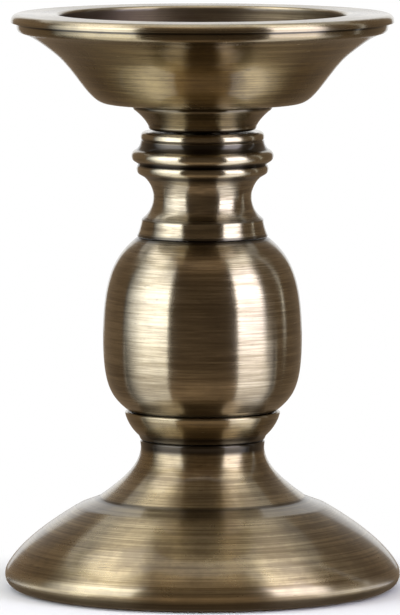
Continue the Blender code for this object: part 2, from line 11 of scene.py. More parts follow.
import bpy
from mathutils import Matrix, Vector


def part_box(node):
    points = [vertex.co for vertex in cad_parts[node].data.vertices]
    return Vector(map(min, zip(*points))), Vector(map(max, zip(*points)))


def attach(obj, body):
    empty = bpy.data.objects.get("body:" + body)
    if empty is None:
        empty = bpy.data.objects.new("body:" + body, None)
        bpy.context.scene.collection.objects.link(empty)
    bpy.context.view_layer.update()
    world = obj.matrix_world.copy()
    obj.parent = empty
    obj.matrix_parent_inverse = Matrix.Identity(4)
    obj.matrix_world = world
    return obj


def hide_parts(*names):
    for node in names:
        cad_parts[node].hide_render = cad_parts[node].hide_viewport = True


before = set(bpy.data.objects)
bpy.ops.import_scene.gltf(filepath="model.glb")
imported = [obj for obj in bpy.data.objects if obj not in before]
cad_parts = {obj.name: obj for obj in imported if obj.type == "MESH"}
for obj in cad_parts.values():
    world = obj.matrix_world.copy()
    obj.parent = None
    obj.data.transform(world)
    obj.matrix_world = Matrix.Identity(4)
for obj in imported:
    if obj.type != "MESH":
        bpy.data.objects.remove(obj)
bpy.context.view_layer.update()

# Turned detail

SEGMENTS = 240
ARC_STEPS = 10
CURVE_STEPS = 30
LONGEST_RUN = 0.0006
OFFSET_SLACK = 0.00003
SAME_POINT = 1e-7
SHORTEST_RUN = 1e-12
SHADE_ANGLE = math.radians(30.0)
HOLLOW_REACH = 0.0012
HOLLOW_FULL = 0.00020

# Fits

SEAT_GAP = 0.0003
FIT_CLEARANCE = 0.0003
ROD_RADIUS = 0.0030
ROD_HOLE = ROD_RADIUS + FIT_CLEARANCE
SPIGOT_RADIUS = 0.0070
SPIGOT_HOLE = SPIGOT_RADIUS + FIT_CLEARANCE
SPIGOT_LENGTH = 0.0009
RECESS_DEPTH = 0.0012


# Outlines: lists of (radius, height) points

def arc(centre, radius, start, end, steps=ARC_STEPS):
    """Points round a centre, from the start angle to the end angle in degrees."""
    points = []
    for i in range(steps + 1):
        angle = math.radians(start + (end - start) * i / steps)
        points.append((centre[0] + radius * math.cos(angle), centre[1] + radius * math.sin(angle)))
    return points


def curve(start, first, second, end):
    """Points on a cubic curve, without its start point."""
    points = []
    for i in range(1, CURVE_STEPS + 1):
        t = i / CURVE_STEPS
        weights = ((1 - t) ** 3, 3 * (1 - t) ** 2 * t, 3 * (1 - t) * t ** 2, t ** 3)
        corners = (start, first, second, end)
        points.append(tuple(sum(w * c[axis] for w, c in zip(weights, corners)) for axis in (0, 1)))
    return points


def bend(start, corner, end):
    """Points on a curve from start towards a corner and round it to the end, without its start point."""
    first = tuple((s + 2 * c) / 3 for s, c in zip(start, corner))
    second = tuple((e + 2 * c) / 3 for e, c in zip(end, corner))
    return curve(start, first, second, end)


def away(point, length, slope):
    """The point at a length from another, in the direction of a slope in degrees."""
    angle = math.radians(slope)
    return (point[0] + length * math.cos(angle), point[1] + length * math.sin(angle))


def meeting(point, run, other, other_run):
    """Where the line through one point along its run meets the line through another point along its own."""
    across = run[0] * other_run[1] - run[1] * other_run[0]
    t = ((other[0] - point[0]) * other_run[1] - (other[1] - point[1]) * other_run[0]) / across
    return (point[0] + t * run[0], point[1] + t * run[1])


def crossing(point, slope, other, other_slope):
    """Where the line through one point meets the line through another, with both slopes in degrees."""
    return meeting(point, away((0.0, 0.0), 1.0, slope), other, away((0.0, 0.0), 1.0, other_slope))


def distance_to_outline(point, outline):
    """The shortest distance from a point to the straight runs of an outline."""
    nearest = math.inf
    for a, b in zip(outline, outline[1:]):
        run = (b[0] - a[0], b[1] - a[1])
        t = ((point[0] - a[0]) * run[0] + (point[1] - a[1]) * run[1]) / (run[0] ** 2 + run[1] ** 2)
        t = min(1.0, max(0.0, t))
        nearest = min(nearest, math.hypot(point[0] - a[0] - t * run[0], point[1] - a[1] - t * run[1]))
    return nearest


def normal(a, b, side):
    """The unit normal to the right (1) or left (-1) of the run from one point to another."""
    length = math.dist(a, b)
    return (side * (b[1] - a[1]) / length, -side * (b[0] - a[0]) / length)


def sheet(face, wall, side):
    """The closed outline of sheet metal: its face, and a line one wall away to the right (1) or left (-1).

    Points of that line that come nearer to the face than one wall are left out, and the gap is closed where
    the runs on its two sides meet.
    """
    face = [p for i, p in enumerate(face) if i == 0 or math.dist(p, face[i - 1]) > SAME_POINT]
    other = []
    last_run = None
    cut = False
    for i, point in enumerate(face):
        pairs = [pair for pair in ((face[max(i - 1, 0)], point), (point, face[min(i + 1, len(face) - 1)]))
                 if pair[0] != pair[1]]
        normals = [normal(a, b, side) for a, b in pairs]
        total = (sum(n[0] for n in normals), sum(n[1] for n in normals))
        scale = wall * len(normals) / (total[0] ** 2 + total[1] ** 2)
        moved = (point[0] + total[0] * scale, point[1] + total[1] * scale)
        runs = [(b[0] - a[0], b[1] - a[1]) for a, b in pairs]
        if distance_to_outline(moved, face) < wall - OFFSET_SLACK:
            cut = True
            continue
        if cut and last_run:
            other.append(meeting(other[-1], last_run, moved, runs[0]))
        other.append(moved)
        last_run = runs[-1]
        cut = False
    return face + other[::-1]


def divided(outline):
    """The outline with its long runs divided, so that hollows and the rings of painted shade fade over short
    distances.
    """
    points = [outline[0]]
    for a, b in zip(outline, outline[1:]):
        parts = max(1, math.ceil(math.dist(a, b) / LONGEST_RUN))
        for i in range(1, parts + 1):
            points.append((a[0] + (b[0] - a[0]) * i / parts, a[1] + (b[1] - a[1]) * i / parts))
    return points


# Turned meshes

def signed_area(outline):
    """Twice the area of a closed outline, below 0 where it runs clockwise with the radius to the right."""
    return sum(a[0] * b[1] - b[0] * a[1] for a, b in zip(outline, outline[1:] + outline[:1]))


def hollows(outline):
    """How hollow the outline is at each point: 1 in a tight recess, 0 on a plain run, -1 on a sharp edge."""
    count = len(outline)
    lengths = [0.0]
    for a, b in zip(outline, outline[1:] + outline[:1]):
        lengths.append(lengths[-1] + math.dist(a, b))
    whole = lengths[-1]
    side = math.copysign(1, signed_area(outline))

    def at(length, start, step):
        """The point at a length along the closed outline, found by walking from a point that is near it."""
        length %= whole
        i = start
        while not lengths[i] <= length <= lengths[i + 1]:
            i = (i + step) % count
        share = (length - lengths[i]) / max(lengths[i + 1] - lengths[i], SHORTEST_RUN)
        a, b = outline[i], outline[(i + 1) % count]
        return (a[0] + (b[0] - a[0]) * share, a[1] + (b[1] - a[1]) * share)

    values = []
    for i, point in enumerate(outline):
        before = at(lengths[i] - HOLLOW_REACH, i, -1)
        after = at(lengths[i] + HOLLOW_REACH, i, 1)
        if before == after:
            values.append(0.0)
            continue
        n = normal(before, after, side)
        middle = ((before[0] + after[0]) / 2 - point[0], (before[1] + after[1]) / 2 - point[1])
        depth = middle[0] * n[0] + middle[1] * n[1]
        values.append(max(-1.0, min(1.0, depth / HOLLOW_FULL)))
    return values


def grime_and_shade_at(point, dark_rings):
    """How dark the darkest ring of painted shade and grime is at a point: full to half its reach, gone at its
    reach.
    """
    amounts = [dark * min(1.0, max(0.0, 2.0 - 2.0 * math.dist(point, (radius, height)) / reach))
               for radius, height, reach, dark in dark_rings]
    return max(amounts, default=0.0)


def new_piece(name, points, faces, material):
    """A mesh object with one material."""
    mesh = bpy.data.meshes.new(name)
    mesh.from_pydata(points, [], faces)
    mesh.materials.append(material)
    piece = bpy.data.objects.new(name, mesh)
    bpy.context.scene.collection.objects.link(piece)
    return piece


def give_values(piece, attribute, values):
    """Stores a number for each point of a piece, for its material to read."""
    piece.data.attributes.new(attribute, "FLOAT", "POINT").data.foreach_set("value", values)


def turned(name, outline, height, node, material, dark_rings=()):
    """A finely turned piece that stands for a CAD node.

    Each point holds its run, which is the length along the outline from its start, how hollow it is, and how
    dark its rings of painted shade and grime make it. A dark ring: the radius and height of its middle, its
    reach and its darkness.
    """
    runs = [0.0]
    for a, b in zip(outline, outline[1:]):
        runs.append(runs[-1] + math.dist(a, b))
    points, rings = [], []
    values = {"run": [], "hollow": [], "grime_and_shade": []}
    for (radius, z), run, hollow in zip(outline, runs, hollows(outline)):
        count = 1 if radius == 0.0 else SEGMENTS
        rings.append(range(len(points), len(points) + count))
        for i in range(count):
            angle = math.tau * i / SEGMENTS
            points.append((radius * math.cos(angle), radius * math.sin(angle), z + height))
        values["run"] += [run] * count
        values["hollow"] += [hollow] * count
        values["grime_and_shade"] += [grime_and_shade_at((radius, z), dark_rings)] * count

    pairs = list(zip(rings, rings[1:]))
    if outline[0][0] > 0.0:
        pairs.append((rings[-1], rings[0]))
    faces = []
    for a, b in pairs:
        for i in range(SEGMENTS):
            j = (i + 1) % SEGMENTS
            corners = (a[i % len(a)], b[i % len(b)], b[j % len(b)], a[j % len(a)])
            faces.append(tuple(dict.fromkeys(corners)))
    if signed_area(outline) > 0.0:
        faces = [face[::-1] for face in faces]

    piece = new_piece(name, points, faces, material)
    for attribute, numbers in values.items():
        give_values(piece, attribute, numbers)
    piece.data.shade_smooth()
    piece.data.set_sharp_from_angle(angle=SHADE_ANGLE)
    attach(piece, "root")
    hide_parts(node)
    return piece


# Shader nodes

class Graph:
    """The nodes of one material or world, with short calls for the kinds that repeat."""

    def __init__(self, owner):
        owner.use_nodes = True
        self.owner = owner
        self.tree = owner.node_tree
        self.shader = self.tree.nodes.get("Principled BSDF")

    def feed(self, socket, value):
        """Links or sets a socket. A colour may be given without its alpha."""
        if isinstance(value, bpy.types.NodeSocket):
            self.tree.links.new(value, socket)
        elif socket.type == "RGBA":
            socket.default_value = (*value[:3], 1.0)
        else:
            socket.default_value = value

    def surface(self, values):
        """Links or sets sockets of the shader, by their names."""
        for name, value in values.items():
            self.feed(self.shader.inputs[name], value)

    def node(self, kind, **settings):
        """A new node with some of its settings."""
        made = self.tree.nodes.new(kind)
        for key, value in settings.items():
            setattr(made, key, value)
        return made

    def maths(self, operation, a, b=0.0):
        """A Math node's result."""
        made = self.node("ShaderNodeMath", operation=operation)
        self.feed(made.inputs[0], a)
        self.feed(made.inputs[1], b)
        return made.outputs[0]

    def total(self, start, *parts):
        """A start value plus each of the parts, which are a value and its share."""
        for value, share in parts:
            start = self.maths("ADD", start, self.maths("MULTIPLY", value, share))
        return start

    def vector(self, operation, a, b=(0.0, 0.0, 0.0)):
        """A Vector Math node's vector."""
        made = self.node("ShaderNodeVectorMath", operation=operation)
        self.feed(made.inputs[0], a)
        self.feed(made.inputs[1], b)
        return made.outputs["Vector"]

    def place(self):
        """The point's place on the object."""
        return self.node("ShaderNodeTexCoord").outputs["Object"]

    def attribute(self, name):
        """A mesh attribute's value."""
        return self.node("ShaderNodeAttribute", attribute_name=name).outputs["Fac"]

    def noise(self, place, scale, detail, roughness=0.5):
        """A noise texture's value."""
        made = self.node("ShaderNodeTexNoise")
        values = {"Vector": place, "Scale": scale, "Detail": detail, "Roughness": roughness}
        for name, value in values.items():
            self.feed(made.inputs[name], value)
        return made.outputs["Fac"]

    def ramp(self, value, low, high, start=0.0, end=1.0):
        """A smooth step from start to end as the value goes from low to high."""
        made = self.node("ShaderNodeMapRange", interpolation_type="SMOOTHSTEP")
        for socket, number in zip(made.inputs, (value, low, high, start, end)):
            self.feed(socket, number)
        return made.outputs[0]

    def mix(self, amount, a, b):
        """One colour with an amount of another mixed in."""
        made = self.node("ShaderNodeMix", data_type="RGBA")
        for i, value in ((0, amount), (6, a), (7, b)):
            self.feed(made.inputs[i], value)
        return made.outputs[2]

    def rings(self, place, run, streak, kind):
        """Streaks drawn out round the axis, as turning and brushing leave them.

        Their kind is how often they break round the axis for a streak number of 1, their pitch and detail.
        """
        breaks, pitch, detail = kind
        around = breaks * streak
        outward = self.vector("NORMALIZE", self.vector("MULTIPLY", place, (1.0, 1.0, 0.0)))
        turn = self.vector("MULTIPLY", outward, (around, around, 0.0))
        along = self.node("ShaderNodeCombineXYZ")
        self.feed(along.inputs["Z"], self.maths("DIVIDE", run, pitch))
        return self.noise(self.vector("ADD", turn, along.outputs[0]), 1.0, detail)

    def bump(self, height, strength, distance):
        """A Bump node's normal."""
        made = self.node("ShaderNodeBump")
        for name, value in (("Height", height), ("Strength", strength), ("Distance", distance)):
            self.feed(made.inputs[name], value)
        return made.outputs["Normal"]


# Brass tones

PALE = (0.350, 0.292, 0.180)
DEEP = (0.205, 0.160, 0.085)
PATINA = (0.085, 0.062, 0.038)
MAUVE = (0.130, 0.095, 0.080)
# Near black, for nicks, for patina and painted shade in hollows, and for the rings of painted shade
GRIME_AND_SHADE = (0.014, 0.010, 0.007)
RUBBED = (0.48, 0.42, 0.29)

# Streaks: how often they break round the axis, their pitch and their detail

HAIR_STREAKS = (1.5, 0.00030, 1.0)
FINE_STREAKS = (0.7, 0.00055, 2.0)
COARSE_STREAKS = (0.30, 0.0014, 2.0)
BROAD_STREAKS = (0.25, 0.0060, 1.0)
NICK_STREAKS = (7.0, 0.00040, 1.0)

# Shares of the streaks and clouds

HAIR_SHARE = 0.30
FINE_SHARE = 0.40
COARSE_SHARE = 0.30
LINES_IN_TONE = 0.75
BROAD_IN_TONE = 0.25
CLOUD_IN_PATINA = 0.55
LINES_IN_PATINA = 0.45

# The values between which each mark fades in, and its amount

NICK_EDGES = (0.68, 0.74)
TONE_EDGES = (0.37, 0.62)
CLOUD_EDGES = (0.40, 0.60)
SPOT_EDGES = (0.60, 0.72)
SUNK_EDGES = (0.55, 1.0)
RUBBED_EDGES = (-0.30, -1.0)
NICK_AMOUNT = 0.60
SPOT_AMOUNT = 0.40
SUNK_AMOUNT = 0.92
RUBBED_AMOUNT = 0.30

# Roughness, the well and relief

LINES_MEAN = 0.5
LINES_MATT = 0.20
DARK_AND_AGED_MATT = 0.12
WELL_MATT = 0.42
WELL_EDGE = 0.0008
WELL_MAUVE = 0.50
WELL_LEAN = 12.0
NICK_DEPTH = 0.3
LINES_STRENGTH = 0.22
LINES_DEPTH = 0.00004


def brass(name, streak, shade, age=0.5, lean=0.0, matt=0.22, well=0.0):
    """Antique brass brushed on the lathe.

    Streaks run round the axis, shorter with a larger streak number, and the shade scales the metal's colours.
    Patina lies in clouds, more of it with more age, and more to the right with a lean. The brass is black
    where the piece is hollow, which is partly patina and partly painted shade, under its rings of painted
    shade, and where it is nicked, and its edges are rubbed bright. With a well, it is duller and more mauve
    up to that length of run, and the mauve is weaker to the right.
    """
    g = Graph(bpy.data.materials.new(name))
    place = g.place()
    across = g.node("ShaderNodeSeparateXYZ")
    g.feed(across.inputs[0], place)
    run = g.attribute("run")
    hollow = g.attribute("hollow")
    kinds = (HAIR_STREAKS, FINE_STREAKS, COARSE_STREAKS, BROAD_STREAKS, NICK_STREAKS)
    hair, fine, coarse, broad, scratches = (g.rings(place, run, streak, kind) for kind in kinds)
    lines = g.total(0.0, (hair, HAIR_SHARE), (fine, FINE_SHARE), (coarse, COARSE_SHARE))
    nicks = g.ramp(scratches, *NICK_EDGES)
    cloud = g.noise(place, scale=82.0, detail=5.0, roughness=0.62)
    spots = g.noise(place, scale=620.0, detail=3.0, roughness=0.6)

    pale, deep, patina, mauve = (tuple(s * part for s, part in zip(shade, tint))
                                 for tint in (PALE, DEEP, PATINA, MAUVE))
    tone = g.ramp(g.total(0.0, (lines, LINES_IN_TONE), (broad, BROAD_IN_TONE)), *TONE_EDGES)
    colour = g.mix(tone, deep, pale)
    mottled = g.total(0.0, (cloud, CLOUD_IN_PATINA), (lines, LINES_IN_PATINA))
    mottled = g.total(mottled, (across.outputs["X"], -lean))
    aged = g.maths("MULTIPLY", g.ramp(mottled, *CLOUD_EDGES, 1.0, 0.0), age)
    colour = g.mix(aged, colour, patina)
    spotted = g.maths("MULTIPLY", g.ramp(spots, *SPOT_EDGES), SPOT_AMOUNT * age)
    colour = g.mix(spotted, colour, mauve)
    nicked = g.maths("MULTIPLY", nicks, NICK_AMOUNT * age)
    # Hollows go near black, partly patina and partly painted shade; the dark rings are painted shade; nicks
    # are real marks
    sunk = g.maths("MULTIPLY", g.ramp(hollow, *SUNK_EDGES), SUNK_AMOUNT)
    dark = g.maths("MAXIMUM", nicked, g.maths("MAXIMUM", sunk, g.attribute("grime_and_shade")))
    colour = g.mix(dark, colour, GRIME_AND_SHADE)
    clean = g.total(RUBBED_AMOUNT, (dark, -RUBBED_AMOUNT))
    rubbed = g.maths("MULTIPLY", g.ramp(hollow, *RUBBED_EDGES), clean)
    colour = g.mix(rubbed, colour, RUBBED)

    uneven = g.maths("SUBTRACT", lines, LINES_MEAN)
    rough = g.total(matt, (uneven, LINES_MATT), (g.maths("MAXIMUM", dark, aged), DARK_AND_AGED_MATT))
    if well:
        inside = g.ramp(run, well - WELL_EDGE, well, 1.0, 0.0)
        dull = g.total(WELL_MAUVE, (across.outputs["X"], -WELL_LEAN))
        colour = g.mix(g.maths("MULTIPLY", inside, dull), colour, MAUVE)
        rough = g.total(rough, (inside, WELL_MATT))
    height = g.total(lines, (nicks, -NICK_DEPTH))
    round_axis = g.node("ShaderNodeTangent", direction_type="RADIAL", axis="Z")
    g.surface({
        "Base Color": colour,
        "Roughness": rough,
        "Normal": g.bump(height, LINES_STRENGTH, LINES_DEPTH),
        "Tangent": round_axis.outputs[0],
        "Metallic": 1.0,
        "Coat Weight": 0.5,
        "Coat IOR": 1.5,
        "Coat Roughness": 0.12,
        "Anisotropic": 0.95,
        "Anisotropic Rotation": 0.25,
    })
    return g.owner


# Zinc, fibre board and felt

ZINC_DARK = (0.50, 0.51, 0.52)
ZINC_PALE = (0.64, 0.65, 0.66)
BOARD_DARK = (0.14, 0.09, 0.055)
BOARD_PALE = (0.26, 0.18, 0.115)
FIBRES_ACROSS = 3600.0
FIBRES_ALONG = 900.0
FELT_DARK = (0.012, 0.012, 0.014)
FELT_PALE = (0.045, 0.045, 0.050)


def zinc(name):
    """Zinc plating: cool grey with faint cloudy crystals."""
    g = Graph(bpy.data.materials.new(name))
    cloud = g.noise(g.place(), scale=900.0, detail=3.0, roughness=0.6)
    g.surface({
        "Base Color": g.mix(g.ramp(cloud, 0.35, 0.65), ZINC_DARK, ZINC_PALE),
        "Roughness": g.ramp(cloud, 0.3, 0.7, 0.28, 0.42),
        "Normal": g.bump(cloud, strength=0.15, distance=0.00002),
        "Metallic": 1.0,
    })
    return g.owner


def fibre_board(name):
    """Pressed fibre board: dark brown with short pale fibres that lie both ways."""
    g = Graph(bpy.data.materials.new(name))
    place = g.place()
    fibres = []
    for scales in ((FIBRES_ALONG, FIBRES_ACROSS, FIBRES_ALONG), (FIBRES_ACROSS, FIBRES_ALONG, FIBRES_ALONG)):
        stretched = g.vector("MULTIPLY", place, scales)
        fibres.append(g.noise(stretched, scale=1.0, detail=4.0, roughness=0.7))
    both = g.maths("MAXIMUM", *fibres)
    g.surface({
        "Base Color": g.mix(g.ramp(both, 0.5, 0.75), BOARD_DARK, BOARD_PALE),
        "Normal": g.bump(both, strength=0.4, distance=0.0001),
        "Roughness": 0.85,
    })
    return g.owner


def felt(name):
    """Black wool felt: matted fibres and a soft sheen."""
    g = Graph(bpy.data.materials.new(name))
    place = g.place()
    matted = g.noise(place, scale=1600.0, detail=6.0, roughness=0.7)
    tufts = g.noise(place, scale=300.0, detail=3.0, roughness=0.5)
    both = g.total(0.0, (matted, 0.6), (tufts, 0.4))
    g.surface({
        "Base Color": g.mix(g.ramp(both, 0.35, 0.68), FELT_DARK, FELT_PALE),
        "Normal": g.bump(both, strength=0.8, distance=0.0003),
        "Roughness": 0.95,
        "Sheen Weight": 0.5,
        "Sheen Roughness": 0.5,
    })
    return g.owner


# Finishes, and the run from the middle of the pan's well to its mouth

WELL_RUN = 0.0455

# The collar, boss and bowl sit under the bulb and dish: their darker shades are partly darker brass, partly
# painted shade
FOOT_BRASS = brass("foot_antique_brass", streak=1.2, shade=(1.04, 1.00, 0.94), age=0.60, lean=0.5, matt=0.26)
COLLAR_BRASS = brass("collar_antique_brass", streak=1.8, shade=(0.80, 0.76, 0.67), age=0.50)
BULB_BRASS = brass("bulb_antique_brass", streak=2.2, shade=(1.05, 1.08, 1.22), age=0.35, lean=0.6)
NECK_BRASS = brass("neck_antique_brass", streak=2.2, shade=(1.10, 1.14, 1.30), age=0.45)
BOSS_BRASS = brass("boss_antique_brass", streak=2.0, shade=(0.66, 0.62, 0.52), age=0.50)
BOWL_BRASS = brass("bowl_antique_brass", streak=1.6, shade=(0.79, 0.73, 0.56), age=0.50)
PAN_BRASS = brass("pan_antique_brass", streak=1.5, shade=(1.08, 1.05, 1.02), age=0.50, well=WELL_RUN)
STEEL = zinc("zinc_plated_steel")
BOARD = fibre_board("pressed_fibre_board")
FELT = felt("black_felt")


# Foot

FOOT_HEIGHT = 0.0386
FOOT_WALL = 0.0010
FOOT_RADIUS = 0.0515
FOOT_RIM_HEIGHT = 0.0035
FOOT_RIM_ROUND = 0.0046
FOOT_DOME_RISE = 0.0093
FOOT_HEM_INSET = 0.0064
FOOT_HEM_ROUND = 0.0012
FOOT_HEM_HEIGHT = 0.0036
FOOT_HEM_RADIUS = FOOT_RADIUS - FOOT_HEM_INSET
FOOT_CREASE_RADIUS = 0.0273
FOOT_CREASE_HEIGHT = 0.0233
FOOT_CREASE_WIDTH = 0.0054
FOOT_CREASE_SLOPE = 20.5
FOOT_FLARE_SLOPE = 36.0
FOOT_FLARE_CURVE = 0.0063
FOOT_NECK_CURVE = 0.0054
FOOT_NECK_DRAW = 0.00015
FOOT_NECK_DROP = 0.0018
FOOT_TOP_RADIUS = 0.0162
FOOT_TOP_ROUND = 0.0006
FOOT_NECK_RADIUS = FOOT_TOP_RADIUS - FOOT_NECK_DRAW

# Dark rings of painted shade, with some grime, here and below: radius, height, reach and darkness

# Painted shade on the rim's underside, in and below the crease, and on the foot's neck under the collar
FOOT_DARK_RINGS = [
    (FOOT_RADIUS - 0.0009, 0.0010, 0.0023, 0.60),
    (FOOT_CREASE_RADIUS, FOOT_CREASE_HEIGHT, 0.0011, 0.75),
    (FOOT_CREASE_RADIUS + 0.0026, FOOT_CREASE_HEIGHT - 0.0010, 0.0040, 0.35),
    (FOOT_NECK_RADIUS, FOOT_HEIGHT - 0.0008, 0.0024, 0.92),
]


def foot_outline():
    """The foot, from the hole in its top down the flare, over the crease and dome, to the hem."""
    rim = (FOOT_RADIUS - FOOT_RIM_ROUND, FOOT_RIM_HEIGHT)
    crown = away(rim, FOOT_DOME_RISE, 90)
    rim_angle = math.degrees(math.asin(FOOT_RIM_ROUND / FOOT_DOME_RISE))
    crease = (FOOT_CREASE_RADIUS, FOOT_CREASE_HEIGHT)
    neck = (FOOT_NECK_RADIUS, FOOT_HEIGHT - FOOT_NECK_DROP)
    face = [(SPIGOT_HOLE, FOOT_HEIGHT)]
    face += arc((FOOT_TOP_RADIUS - FOOT_TOP_ROUND, FOOT_HEIGHT - FOOT_TOP_ROUND), FOOT_TOP_ROUND, 90, 0)
    face.append(neck)
    flare_end = away(crease, FOOT_FLARE_CURVE, 180 - FOOT_FLARE_SLOPE)
    face += curve(neck, away(neck, FOOT_NECK_CURVE, -90), flare_end, crease)
    dome = away(crease, FOOT_CREASE_WIDTH, -FOOT_CREASE_SLOPE)
    face.append(dome)
    face += bend(dome, crown, away(rim, FOOT_RIM_ROUND, rim_angle))
    face += arc(rim, FOOT_RIM_ROUND, rim_angle, 0)[1:]
    face += arc((FOOT_RADIUS - FOOT_RIM_HEIGHT, FOOT_RIM_HEIGHT), FOOT_RIM_HEIGHT, 0, -90)[1:]
    face += arc((FOOT_HEM_RADIUS + FOOT_HEM_ROUND, FOOT_HEM_ROUND), FOOT_HEM_ROUND, -90, -180)
    face.append((FOOT_HEM_RADIUS, FOOT_HEM_HEIGHT))
    return sheet(divided(face), FOOT_WALL, 1)


# Bulb

BULB_RADIUS = 0.0259
BULB_HEIGHT = 0.04735
BULB_WALL = 0.0010
BULB_GIRTH_HEIGHT = 0.0222
BULB_UPPER_CURVE = 0.0142
BULB_LOWER_CURVE = 0.0140
BULB_TOP_RADIUS = 0.0168
BULB_SHOULDER_SLOPE = 36.0
BULB_SHOULDER_CURVE = 0.0076
BULB_HIP_RADIUS = 0.0188
BULB_HIP_HEIGHT = 0.0017
BULB_HIP_SLOPE = 38.0
BULB_HIP_CURVE = 0.0065
BULB_BASE_INSET = 0.0043
BULB_BASE_RADIUS = BULB_HIP_RADIUS - BULB_BASE_INSET
# Painted shade under the neck and at the hip inside the collar's lip
BULB_DARK_RINGS = [
    (BULB_TOP_RADIUS, BULB_HEIGHT, 0.0016, 0.85),
    (BULB_HIP_RADIUS - 0.0010, BULB_HIP_HEIGHT - 0.0006, 0.0020, 0.80),
]


def bulb_outline():
    """The bulb, from the hole in its top down the outside to the hole in its base."""
    top = (BULB_TOP_RADIUS, BULB_HEIGHT)
    girth = (BULB_RADIUS, BULB_GIRTH_HEIGHT)
    hip = (BULB_HIP_RADIUS, BULB_HIP_HEIGHT)
    base = (BULB_BASE_RADIUS, 0.0)
    shoulder = away(top, BULB_SHOULDER_CURVE, -BULB_SHOULDER_SLOPE)
    face = [(NECK_SPIGOT_RADIUS + FIT_CLEARANCE, BULB_HEIGHT), top]
    face += curve(top, shoulder, away(girth, BULB_UPPER_CURVE, 90), girth)
    face += curve(girth, away(girth, BULB_LOWER_CURVE, -90), away(hip, BULB_HIP_CURVE, BULB_HIP_SLOPE), hip)
    face += bend(hip, crossing(hip, BULB_HIP_SLOPE, base, 0), base)
    face.append((SPIGOT_HOLE, 0.0))
    return sheet(divided(face), BULB_WALL, 1)


# Collar cup

COLLAR_BASE_RADIUS = FOOT_TOP_RADIUS
COLLAR_WAIST_FLARE = 0.0004
COLLAR_WAIST_HEIGHT = 0.0009
COLLAR_WAIST_SLOPE = 42.0
COLLAR_SIDE_SLOPE = 76.0
COLLAR_LIP_ROUND = 0.0005
COLLAR_LIP_CLEARANCE = 0.0004
COLLAR_LIP_RISE = 0.0002
COLLAR_FLOOR_HEIGHT = 0.0050
COLLAR_FLOOR_MARGIN = 0.0020
COLLAR_RADIUS = BULB_HIP_RADIUS + COLLAR_LIP_CLEARANCE + 2 * COLLAR_LIP_ROUND
COLLAR_HEIGHT = COLLAR_FLOOR_HEIGHT + SEAT_GAP + BULB_HIP_HEIGHT + COLLAR_LIP_RISE
COLLAR_FLOOR_RADIUS = BULB_BASE_RADIUS + COLLAR_FLOOR_MARGIN
# Painted shade where the collar meets the foot and inside its lip under the bulb
COLLAR_DARK_RINGS = [
    (COLLAR_BASE_RADIUS, 0.0006, 0.0022, 0.85),
    (COLLAR_RADIUS - 0.0018, COLLAR_HEIGHT, 0.0014, 0.90),
]


def collar_outline():
    """The collar cup: spigot and floor for the bulb, rounded lip, and a side drawn in to the foot's neck."""
    lip = (COLLAR_RADIUS - COLLAR_LIP_ROUND, COLLAR_HEIGHT - COLLAR_LIP_ROUND)
    side = away(lip, COLLAR_LIP_ROUND, 0)
    waist = (COLLAR_BASE_RADIUS + COLLAR_WAIST_FLARE, COLLAR_WAIST_HEIGHT)
    floor = COLLAR_FLOOR_HEIGHT
    outline = [(ROD_HOLE, floor + SPIGOT_LENGTH), (SPIGOT_RADIUS, floor + SPIGOT_LENGTH)]
    outline += [(SPIGOT_RADIUS, floor), (COLLAR_FLOOR_RADIUS, floor)]
    outline += arc(lip, COLLAR_LIP_ROUND, 180, 0)
    outline += bend(side, crossing(side, COLLAR_SIDE_SLOPE, waist, COLLAR_WAIST_SLOPE), waist)
    outline.append((COLLAR_BASE_RADIUS, 0.0))
    outline += [(SPIGOT_RADIUS, 0.0), (SPIGOT_RADIUS, -SPIGOT_LENGTH), (ROD_HOLE, -SPIGOT_LENGTH)]
    return divided(outline)


# Neck

NECK_HEIGHT = 0.0272
NECK_BORE_RADIUS = 0.0095
NECK_SPIGOT_WALL = 0.0015
NECK_SPIGOT_RADIUS = NECK_BORE_RADIUS + NECK_SPIGOT_WALL
NECK_WEB = 0.0030
NECK_TOP_RADIUS = 0.01605
NECK_TOP_ROUND = 0.0012
NECK_GROOVE_DROP = 0.0021
NECK_GROOVE_DEPTH = 0.00025
NECK_GROOVE_WIDTH = 0.0007
NECK_FLARE_STEP = 0.00105
NECK_FLARE_RADIUS = NECK_TOP_RADIUS + NECK_FLARE_STEP
NECK_FLARE_DROP = 0.0047
NECK_FLARE_SLOPE = 46.0
NECK_BEAD_STEP = 0.0014
NECK_BEAD_RADIUS = NECK_FLARE_RADIUS + NECK_BEAD_STEP
NECK_BEAD_ROUND = 0.00165
NECK_BEAD_DROP = 0.00635
NECK_BEAD_ANGLE = 62.0
NECK_RING_INSET = 0.00135
NECK_RING_RADIUS = NECK_BEAD_RADIUS - NECK_RING_INSET
NECK_RING_ROUND = 0.00165
NECK_RING_DROP = 0.00975
NECK_RING_TOP_ANGLE = 50.0
NECK_RING_BASE_ANGLE = 60.0
NECK_WAIST_RADIUS = 0.0128
NECK_COVE_ROUND = 0.0069
NECK_COVE_HALF_HEIGHT = 0.0052
NECK_COVE_HEIGHT = 0.01015
NECK_BAND_TOP_RADIUS = 0.0158
NECK_BAND_TOP_HEIGHT = 0.0043
NECK_BAND_WAIST_RADIUS = 0.0160
NECK_BAND_WAIST_HEIGHT = 0.0025
NECK_BASE_RADIUS = 0.0170
# Painted shade under the top ring, the bead and the ring, over the band and where the neck meets the bulb
NECK_DARK_RINGS = [
    (NECK_TOP_RADIUS + 0.0002, NECK_HEIGHT - NECK_GROOVE_DROP - 0.0016, 0.0019, 0.90),
    (NECK_BEAD_RADIUS - 0.0012, NECK_HEIGHT - NECK_BEAD_DROP - 0.0017, 0.0011, 0.90),
    (NECK_RING_RADIUS - 0.0015, NECK_HEIGHT - NECK_RING_DROP - 0.0018, 0.0014, 0.80),
    (NECK_BAND_TOP_RADIUS, NECK_BAND_TOP_HEIGHT + 0.0004, 0.0009, 0.65),
    (NECK_BASE_RADIUS, 0.0, 0.0010, 0.85),
]


